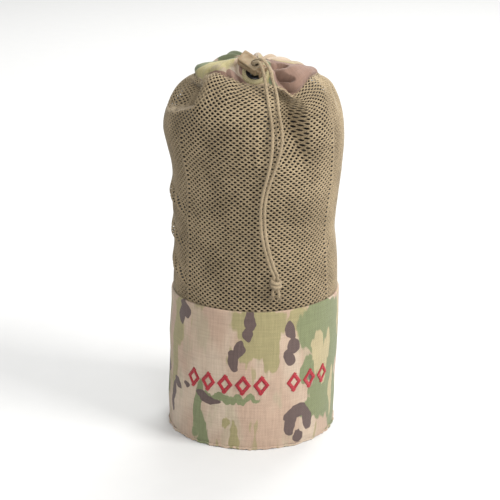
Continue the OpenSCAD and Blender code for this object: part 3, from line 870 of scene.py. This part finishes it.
# ---- embroidery ----

FIGURE_Z, FIGURE_H, FIGURE_W, BAND = 63.0, 19.5, 15.0, 3.2


def on_wall(x, z, angle, height):
    theta = math.radians(angle) + x / 78.6
    return round_bag(theta, base_radius(z) + wall_relief(theta, z) + height, z)


def diamond(angle):
    """Satin stitches laid side by side across the four sides of an open diamond."""
    corners = np.array([(0, FIGURE_H / 2), (FIGURE_W / 2, 0), (0, -FIGURE_H / 2), (-FIGURE_W / 2, 0)])
    threads = []
    for a, b in zip(corners, np.roll(corners, -1, axis=0)):
        along = unit(b - a)
        inward = np.array([along[1], -along[0]])
        length = np.linalg.norm(b - a)
        for s in np.arange(0.3, length - 0.1, 0.40):
            jitter = rng.normal(0, 0.07, 2)
            outer = a + along * s + inward * jitter[0]
            inner = a + along * (s + 0.35) + inward * (BAND + jitter[1])
            t = np.linspace(0, 1, 7)[:, None]
            flat = outer + (inner - outer) * t
            rise = 0.62 * np.sin(math.pi * t[:, 0]) ** 0.6 - 0.02
            threads.append(tube(on_wall(flat[:, 0], flat[:, 1] + FIGURE_Z, angle, rise), 0.25, 6))
    return merged(threads)


figures = [-44 + 12.3 * k for k in range(5)] + [28 + 12.6 * k for k in range(3)]
stitches = merged([diamond(a) for a in figures])
piece("satin_stitch_row", *stitches, red_thread, "red_thread", "front_embroidery")


# ---- gathered mouth ----

# valleys of the gathered cloth: places as (angle, share of the way from the sewn edge to the rim),
# half width, depth in mm
VALLEYS = [
    ([(-57, -0.05), (-57, 0.4), (-54, 0.7), (-48, 0.9)], 3.2, 7.0),  # between the left roll and the front fold
    ([(-16, 0.1), (-22, 0.4), (-33, 0.72)], 3.2, 6.0),  # upright pleat left of the eyelet
    ([(-30, 0.12), (-36, 0.5)], 5.0, 1.6),
    ([(-84, 0.35), (-76, 0.62), (-60, 0.8)], 4.0, 2.2),
    ([(24, 0.12), (26, 0.45), (27, 0.8)], 3.4, 3.6),  # beside the strands
    ([(28, 0.48), (30, 0.30), (34, 0.14)], 4.2, 6.0),  # foot of the right lobe
    ([(62, 0.92), (72, 0.7)], 3.5, 2.0), ([(88, 0.9), (92, 0.4)], 5.0, 3.6),
    ([(108, 0.9), (106, 0.3)], 5.0, 4.0), ([(124, 0.95), (128, 0.2)], 5.0, 3.8),
    ([(146, 0.95), (143, 0.25)], 5.0, 5.0), ([(164, 0.95), (168, 0.2)], 5.0, 4.5),
    ([(-174, 0.95), (-172, 0.3)], 4.0, 3.4), ([(-154, 0.95), (-150, 0.2)], 5.0, 5.0),
    ([(-132, 0.95), (-134, 0.25)], 5.0, 4.4), ([(-114, 0.95), (-112, 0.3)], 5.0, 4.6),
    ([(-98, 0.9), (-97, 0.55)], 4.0, 3.0),
]
# steep pockets between two pleats: angle, share, half widths in mm round and up, turn in degrees, depth in mm
POCKETS = [(36, 0.79, 7.0, 3.2, 4, 16.0), (32, 0.54, 3.2, 7.0, -38, 16.0)]
# rounded swellings: angle, share, half widths in mm round and up, height in mm
SWELLINGS = [
    (-86, 0.42, 22, 12, 1.6), (-74, 0.66, 14, 9, 2.0), (-44, 0.38, 13, 11, 2.0), (-6, 0.20, 16, 7, 0.8),
    (36, 0.30, 12, 12, 2.2), (36, 0.67, 8, 2.4, 1.6), (60, 0.40, 16, 12, 2.0), (50, 0.66, 8, 5, 1.8),
    (76, 0.55, 16, 14, 1.4), (-143, 0.6, 12, 10, 2.0), (156, 0.6, 12, 10, 1.6), (118, 0.6, 10, 10, 1.4),
]
MOUTH_AROUND, MOUTH_UP = 44.0, 50.0  # mm per radian and per share, for distances on the cloth


def valley(theta, t, path, half):
    """1 on the path, falling to 0 at half a width from it."""
    nearest = np.full(np.broadcast(theta, t).shape, 99.0)
    for (a1, t1), (a2, t2) in zip(path, path[1:]):
        a1, a2 = math.radians(a1), math.radians(a2)
        px, py = MOUTH_AROUND * angle_between(theta, a1), MOUTH_UP * (t - t1)
        qx, qy = MOUTH_AROUND * (a2 - a1), MOUTH_UP * (t2 - t1)
        share = np.clip((px * qx + py * qy) / (qx * qx + qy * qy), 0, 1)
        nearest = np.minimum(nearest, np.hypot(px - share * qx, py - share * qy))
    return np.clip(1 - nearest / (1.6 * half), 0, 1) ** 1.5


def mouth_section(theta, t):
    """Outer skin: t is 0 at the lower edge and 1 at the inner rim."""
    knots = [(mouth_value(theta, 1 + 2 * k), mouth_value(theta, 2 + 2 * k)) for k in range(4)]
    at = [0.0, 0.34, 0.72, 1.0]
    r = z = 0.0
    for k, (rk, zk) in enumerate(knots):  # one cubic through the four
        w = 1.0
        for m in range(4):
            if m != k:
                w = w * (t - at[m]) / (at[k] - at[m])
        r, z = r + w * rk, z + w * zk
    return r, z


def mouth_surface(theta, t, inset=0.0):
    r, z = mouth_section(theta, t)
    r2, z2 = mouth_section(theta, t + 0.01)
    dr, dz = r2 - r, z2 - z
    size = np.hypot(dr, dz)
    d = 0.45 * ripple(theta, 12 * t, 61, 9, 0.25) + 0.25 * ripple(theta, 40 * t, 62, 26, 0.12)
    gather = step(t, 0.55, 1.0)
    d = d + gather * 1.2 * np.abs(np.sin(17 * theta + 0.8 * np.sin(3 * theta) + 0.6))
    for path, half, depth in VALLEYS:
        d = d - depth * valley(theta, t, path, half)
    for angle, at, around, up, turn, depth in POCKETS:
        x, y = MOUTH_AROUND * angle_between(theta, math.radians(angle)), MOUTH_UP * (t - at)
        c, s = math.cos(math.radians(turn)), math.sin(math.radians(turn))
        d = d - depth * (1 - step(np.hypot((x * c - y * s) / around, (x * s + y * c) / up), 0.68, 1.08))
    for angle, at, around, up, height in SWELLINGS:
        x = MOUTH_AROUND * angle_between(theta, math.radians(angle)) / around
        d = d + height * np.exp(-(x**2) - (MOUTH_UP * (t - at) / up) ** 2)
    d = d - inset + 1.0 - 1.6 * np.exp(-((MOUTH_AROUND * theta / 15) ** 2) - (MOUTH_UP * (t - 0.5) / 15) ** 2)
    return round_bag(theta, r + d * dz / size, z - d * dr / size)


def mouth_rings(theta):
    puffed = 8.0
    ts = np.linspace(0.0, 1.0, 54)
    for t in ts:
        yield mouth_surface(theta, t), 60 * t
    for t in ts[::-3]:
        depth = 1.2 + (puffed - 1.2) * math.sin(math.pi * t) ** 0.7
        yield mouth_surface(theta, t, depth), 60 + 44 * (1 - t)


def mouth_mesh():
    columns = 900
    theta = (np.arange(columns + 1) / columns - 0.5) * TURN
    points, cloth = [], []
    for ring, cut in mouth_rings(theta):
        points.append(ring)
        cloth.append(np.stack([theta * 78, 0 * theta + cut], axis=1))
    return np.vstack(points), grid_faces(len(points), columns + 1, wrap_columns=False), np.vstack(cloth)


points, faces, cloth = mouth_mesh()
mouth = welded(piece("mouth_tunnel", points, faces, collar_camo, "camo_fabric", "collar_tunnel", cloth=cloth))


def turned(profile, columns, place, relief=None):
    """A closed ring turned about the eyelet's axis from (radius, height) corners."""
    a = np.arange(columns) * TURN / columns
    rings = []
    for k, (r, h) in enumerate(profile):
        rr = r + (relief(a, k) if relief else 0)
        rings.append(np.stack([rr * np.cos(a), rr * np.sin(a), h + 0 * a], axis=1))
    return place(np.vstack(rings)), grid_faces(len(profile), columns, wrap_rows=True)


UP_PATCH = np.array([0, math.sqrt(0.5), math.sqrt(0.5)])


def at_eyelet(local):
    local = np.asarray(local, float)
    return EYELET + local[:, :1] * [1, 0, 0] + local[:, 1:2] * UP_PATCH + local[:, 2:3] * OUT


def patch_waves(a, k):
    """The patch is even round the eyelet and a little wavy outside it."""
    return 0.35 * np.sin(3 * a + 1) + 0.2 * np.sin(7 * a) if k > 3 else 0 * a


patch_profile = [
    (5.0, -2.2), (5.0, -0.25), (6.5, -0.05), (8.4, 0.0), (9.4, 0.35), (10.4, 0.95), (11.3, 1.0), (12.1, 0.4),
    (12.6, -0.8), (12.6, -2.6), (11.5, -3.4), (9, -2.9),
]
points, faces = turned(patch_profile, 96, at_eyelet, patch_waves)
cloth = points[:, :2] + [40, 60]
welded(piece("eyelet_patch_cloth", points, faces, patch_cloth, "camo_fabric", "eyelet_patch", cloth=cloth))

flange_profile = [
    (4.2, -3.0), (4.2, 0.2), (4.6, 0.75), (5.4, 0.95), (6.6, 0.85), (7.6, 0.5), (8.0, 0.1), (7.9, 0.0),
    (4.8, 0.0), (4.8, -3.0),
]
welded(piece("eyelet_ring", *turned(flange_profile, 96, at_eyelet), black_metal, "black_metal", "eyelet_flange"))


# ---- cord lock ----

LOCK = EYELET + 9.4 * OUT


def at_lock(local):
    local = np.asarray(local, float)
    return LOCK + local[:, :1] * ALONG + local[:, 1:2] * ACROSS + local[:, 2:3] * OUT


def block(x_low, x_high, width, thick, corner, edge, y=0.0, z=0.0):
    """A box with rounded corners, in mm, as a bmesh."""
    made = bmesh.new()
    bmesh.ops.create_cube(made, size=1)
    for v in made.verts:
        v.co = (x_low + (v.co.x + 0.5) * (x_high - x_low), y + v.co.y * width, z + v.co.z * thick)
    upright = [e for e in made.edges if abs(e.verts[0].co.z - e.verts[1].co.z) > 1e-4]
    if corner:
        bmesh.ops.bevel(made, geom=upright, offset=corner, segments=5, affect="EDGES", profile=0.5)
    if edge:
        level = [e for e in made.edges if abs(e.verts[0].co.z - e.verts[1].co.z) < 1e-4]
        flat = [e for e in level if len(e.link_faces) == 2 and e.calc_face_angle(0) > 0.8]
        bmesh.ops.bevel(made, geom=flat, offset=edge, segments=3, affect="EDGES", profile=0.5)
    return made


def drum(radius, low, high):
    made = bmesh.new()
    bmesh.ops.create_cone(made, cap_ends=True, segments=48, radius1=radius, radius2=radius, depth=high - low)
    for v in made.verts:
        v.co.z += (low + high) / 2
    return made


def carved(name, base, added, removed, soften, material, node_name, body):
    """base plus added less removed, with its new edges softened, at the lock."""

    def temporary(b):
        mesh = bpy.data.meshes.new("shape")
        b.to_mesh(mesh)
        b.free()
        made = bpy.data.objects.new("shape", mesh)
        bpy.context.scene.collection.objects.link(made)
        return made

    whole = temporary(base)
    cutters = [(temporary(b), "UNION") for b in added] + [(temporary(b), "DIFFERENCE") for b in removed]
    for cutter, operation in cutters:
        modifier = whole.modifiers.new("cut", "BOOLEAN")
        modifier.object, modifier.operation, modifier.solver = cutter, operation, "EXACT"
    bevel = whole.modifiers.new("soften", "BEVEL")
    bevel.width, bevel.segments, bevel.limit_method, bevel.angle_limit = soften, 2, "ANGLE", math.radians(50)
    mesh = bpy.data.meshes.new_from_object(whole.evaluated_get(bpy.context.evaluated_depsgraph_get()))
    for made in [whole, *[c for c, _ in cutters]]:
        bpy.data.objects.remove(made)
    points = at_lock([v.co for v in mesh.vertices])
    faces = [list(p.vertices) for p in mesh.polygons]
    made = piece(name, points, faces, material, "tan_plastic", node_name, body=body)
    made.data.set_sharp_from_angle(angle=math.radians(38))
    return made


lock_body = carved(
    "cord_lock_body",
    block(-15.3, 5.0, 12.0, 9.2, 1.5, 0.7),
    [],
    [
        block(-13.7, 6.0, 9.6, 5.8, 0.0, 0.0), drum(3.5, -6, 6), block(-13.2, -0.7, 20, 2.2, 0.0, 0.0, z=1.7),
        block(-12.5, -4.6, 7.0, 1.0, 1.0, 0.0, z=4.85),
    ],
    0.22, lock_plastic, "lock_body", "lock",
)
ribs = [block(9.6, 10.3, 0.7, 6.0, 0.0, 0.0, y=y) for y in (-3.0, -1.0, 1.0, 3.0)]
lock_button = carved(
    "cord_lock_button",
    block(-3.4, 8.8, 9.2, 5.2, 0.7, 0.4),
    [
        block(-7.5, -3.0, 5.6, 5.0, 0.5, 0.0), block(8.3, 9.9, 11.2, 7.8, 0.5, 0.6), *ribs,
        block(-3.2, -0.9, 10.8, 1.6, 0.0, 0.0, z=1.7),
    ],
    [block(-1.7, 4.7, 6.8, 10, 1.6, 0.0)],
    0.15, button_plastic, "lock_plunger", "plunger",
)

wound = np.linspace(0, 1, 200)
a = 9 * math.pi * wound
spring_line = np.stack([-13.25 + 5.3 * wound, 1.95 * np.cos(a), 1.95 * np.sin(a)], axis=1)
spring_mesh = tube(at_lock(spring_line), 0.35, 8)
spring = piece("lock_spring_coil", *spring_mesh, spring_wire, "spring_steel", "lock_spring", body="lock")
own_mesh(spring)


# ---- throw line ----

ROPE_D = 9.5


def rope_limit(a, z):
    """Radius of the outermost turns: inside the lining, then close inside the net and its dents."""
    limit = 0 * z + 99.0
    for turn_off in (-7, 0, 7):
        facing = angle_between(a + math.pi / 2 + math.radians(turn_off), 0)
        for rise in (-5, 0, 5):
            net_r = np.interp(z + rise, [row[1] for row in NET_OUTLINE], [row[0] for row in NET_OUTLINE])
            limit = np.minimum(limit, net_r + net_dent(facing, z + rise) + net_relief(facing, z + rise))
    return np.where(z < 120, 60.0, 60.0 + (limit - 6.8 - 60.0) * step(z, 118, 138))


def winding(r_from, r_to, z_from, z_to, first, turn_count, spread=0.0):
    n = max(int(turn_count * 36), 6)
    t = np.linspace(0, 1, n)
    a = first + t * turn_count * TURN
    r = r_from + (r_to - r_from) * step(t, 0, 1)
    z = z_from + (z_to - z_from) * t
    r = r + spread * (0.6 * np.sin(2.3 * a) + 0.4 * np.sin(5.1 * a + 1)) - spread
    # the turns under the back of the mouth lie lower, as the mouth does
    behind = step(np.abs(angle_between(a + math.pi / 2, 0)), math.radians(75), math.radians(115))
    z = z - 7.0 * behind * step(z, 306, 318)
    r = np.minimum(r, rope_limit(a, z))
    return np.stack([r * np.cos(a), r * np.sin(a), z], axis=1)


def outer_winding(z_from, z_to, first, turn_count):
    n = int(turn_count * 36)
    t = np.linspace(0, 1, n)
    a = first + t * turn_count * TURN
    z = z_from + (z_to - z_from) * t
    r = rope_limit(a, z) - 0.5 * (1 + np.sin(2.7 * a)) * hump(t, 0.5, 0.5)
    return np.stack([r * np.cos(a) + lean(z) * step(z, 118, 135), r * np.sin(a), z + 0.8 * np.sin(1.7 * a)], axis=1)


rope_path = [
    np.array([(0, 0, 92.0), (2, 1, 97.0), (10, 4, 103.0), (22, 4, 108.0)]),
    winding(33, 33, 112, 266, 0.25, 8.2, 0.8),
    winding(32, 9, 270, 275, 0.25 + 8.3 * TURN, 2.4)[1:],
    winding(10, 33, 277, 279, 0.25 + 10.8 * TURN, 1.0)[1:],
    winding(34, 39, 283, 322, 0.25 + 11.9 * TURN, 1.2)[1:],
    winding(40, 51, 328, 325, 0.25 + 13.2 * TURN, 1.5)[1:],
    winding(52, 58, 324, 320, 0.25 + 14.8 * TURN, 1.2)[1:],
    winding(59, 64, 319, 315, 0.25 + 16.1 * TURN, 1.1)[1:],
]
angle = 0.25 + 17.3 * TURN
rope_path.append(outer_winding(312, 27, angle, 30.5)[2:])
angle += 30.5 * TURN
rope_path.append(winding(60, 47, 27, 27, angle + 0.1, 0.5)[2:])
angle += 0.1 + 0.5 * TURN
rope_path.append(winding(47, 47, 28, 298, angle + 0.1, 17.0, 0.5)[1:])
angle += 0.1 + 17.0 * TURN
rope_path.append(winding(47, 26, 299, 296, angle + 0.1, 0.45)[1:])
rope_path = np.vstack(rope_path)
end_angle = math.atan2(rope_path[-1][1], rope_path[-1][0])
to_knot = (math.pi / 2 - end_angle) % TURN
rope_path = np.vstack([rope_path, winding(26, 26, 295.5, 294, end_angle + 0.15, max(to_knot - 0.35, 0.3) / TURN)])
rope_line, rope_length = evenly(rope_path, 4.5)
points, faces = tube(rope_line, ROPE_D / 2, 12)
rope = piece("stowed_rope", points, faces, rope_yarn, "dark_rope", "throw_line")


def rope_loop(name, line, node_name):
    """A loop of the line that shows its braid."""
    mesh = cord_mesh(line, ROPE_D, 0.9, 32, carriers=8, depth=0.12)[0]
    return piece(name, *mesh, rope_yarn, "dark_rope", node_name)


a = np.radians(np.linspace(115, 425, 90))
hand_line = np.stack([26 * np.cos(a), 26 * np.sin(a), 289 + 0.8 * np.sin(2 * a)], axis=1)
hand_loop = rope_loop("rope_hand_loop", hand_line, "line_hand_loop")
a = np.radians(np.linspace(96, 444, 100))
anchor_line = np.stack([0 * a, 17.9 * np.cos(a), 47.1 + 17.9 * np.sin(a)], axis=1)
rope_loop("rope_anchor_loop", anchor_line, "line_anchor_loop")


def rope_knot(name, centre, size, tilt, node_name):
    """Three turns of the line drawn tight round themselves."""
    parts = []
    for k, (off, r, phase) in enumerate(((-0.42, 0.52, 0.0), (0.42, 0.52, 2.0), (0.0, 0.60, 4.0))):
        a = phase + np.radians(np.linspace(0, 330, 60))
        ring = np.stack([r * size * np.cos(a), r * size * np.sin(a), off * size + 0.10 * size * np.sin(a + k)], axis=1)
        c, s = math.cos(tilt), math.sin(tilt)
        ring = ring @ np.array([[1, 0, 0], [0, c, s], [0, -s, c]])
        parts.append(cord_mesh(centre + ring, ROPE_D * 0.92, 0.9, 28, carriers=8, depth=0.12)[0])
    return piece(name, *merged(parts), rope_yarn, "dark_rope", node_name)


hand_knot = rope_knot("rope_hand_knot", np.array([0, 26, 293.7]), 9.5, math.pi / 2, "line_hand_knot")
anchor_knot = rope_knot("rope_anchor_knot", np.array([0, 0, 81.8]), 11.5, 0.35, "line_anchor_knot")


def strap(path):
    """Flat webbing 25 mm wide along a path in the XZ plane."""
    line, length = evenly(smooth_path(path), 1.0)
    ahead = unit(np.gradient(line, axis=0))
    up = np.cross(ahead, [0, 1, 0])
    across = np.linspace(-12.5, 12.5, 15)
    thick = 0.9 * np.sqrt(np.clip(1 - (across / 12.6) ** 8, 0.05, 1))
    top = [line + y * np.array([0, 1, 0]) + up * t for y, t in zip(across, thick)]
    low = [line + y * np.array([0, 1, 0]) - up * t for y, t in zip(across, thick)][::-1]
    rings = np.stack(top + low, axis=1)
    n, c = rings.shape[:2]
    faces = [*grid_faces(n, c), list(range(c))[::-1], list(range((n - 1) * c, n * c))]
    around = np.concatenate([across, across[::-1]])
    cloth = np.stack([np.tile(around, n), np.repeat(np.linspace(0, length, n), c)], axis=1)
    return rings.reshape(-1, 3), faces, cloth


arch = [(12.1 * math.sin(x), 0, 35 + 12.1 * math.cos(x)) for x in np.radians([-90, -60, -30, 0, 30, 60, 90])]
feet = [(-22.5, 21.4), (-17, 21.4), (-13.3, 23), (-12.1, 28)]
left_foot, right_foot = [(x, 0, z) for x, z in feet], [(-x, 0, z) for x, z in feet[::-1]]
points, faces, cloth = strap([*left_foot, *arch, *right_foot])
piece("anchor_strap", points, faces, webbing_cloth, "binding_tape", "anchor_webbing", cloth=cloth)


# ---- carried-over CAD nodes ----

for name, material in (("eyelet_washer", black_metal), ("drawcord_loop", cord_yarn)):
    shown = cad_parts[name]
    shown.data.materials.clear()
    shown.data.materials.append(material)


# ---- the strands' placing baked into their points ----

strands = ((strand_left, line_left, length_left, -1), (strand_right, line_right, length_right, 1))
for made, line, length, side in strands:
    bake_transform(made)


# ---- floor and light ----


def stage_material():
    material, tree, bsdf = shader("studio_paper", Roughness=0.9, Specular_IOR_Level=0.1)
    speckle = noise(tree, position(tree), 40, 2)
    tree.links.new(mix_colour(tree, speckle, rgb(206, 206, 205), rgb(209, 209, 208)), bsdf.inputs["Base Color"])
    return material


floor_mesh = bpy.data.meshes.new("studio_floor")
floor_mesh.from_pydata([(-9, -9, 0), (9, -9, 0), (9, 9, 0), (-9, 9, 0)], [], [(0, 1, 2, 3)])
floor_mesh.materials.append(stage_material())
floor = bpy.data.objects.new("studio_floor", floor_mesh)
bpy.context.scene.collection.objects.link(floor)

world = bpy.data.worlds.new("studio")
bpy.context.scene.world = world
world.use_nodes = True
world.node_tree.nodes["Background"].inputs["Color"].default_value = (1.0, 1.0, 1.0, 1)
world.node_tree.nodes["Background"].inputs["Strength"].default_value = 0.66


def lamp(name, place, target, size, watts, colour=(1, 1, 1)):
    light = bpy.data.lights.new(name, "AREA")
    light.size, light.energy, light.color = size, watts, colour
    made = bpy.data.objects.new(name, light)
    made.location = place
    made.rotation_euler = (Vector(target) - Vector(place)).to_track_quat("-Z", "Y").to_euler()
    bpy.context.scene.collection.objects.link(made)


lamp("key", (1.4, -0.75, 1.5), (0, 0, 0.2), 0.8, 42, (1, 0.985, 0.97))
lamp("front", (0.3, -2.0, 1.3), (0, 0, 0.2), 1.0, 21, (0.98, 0.99, 1))
lamp("back", (0.5, 1.7, 2.3), (0, 0.6, 0), 1.4, 58, (1, 1, 1))
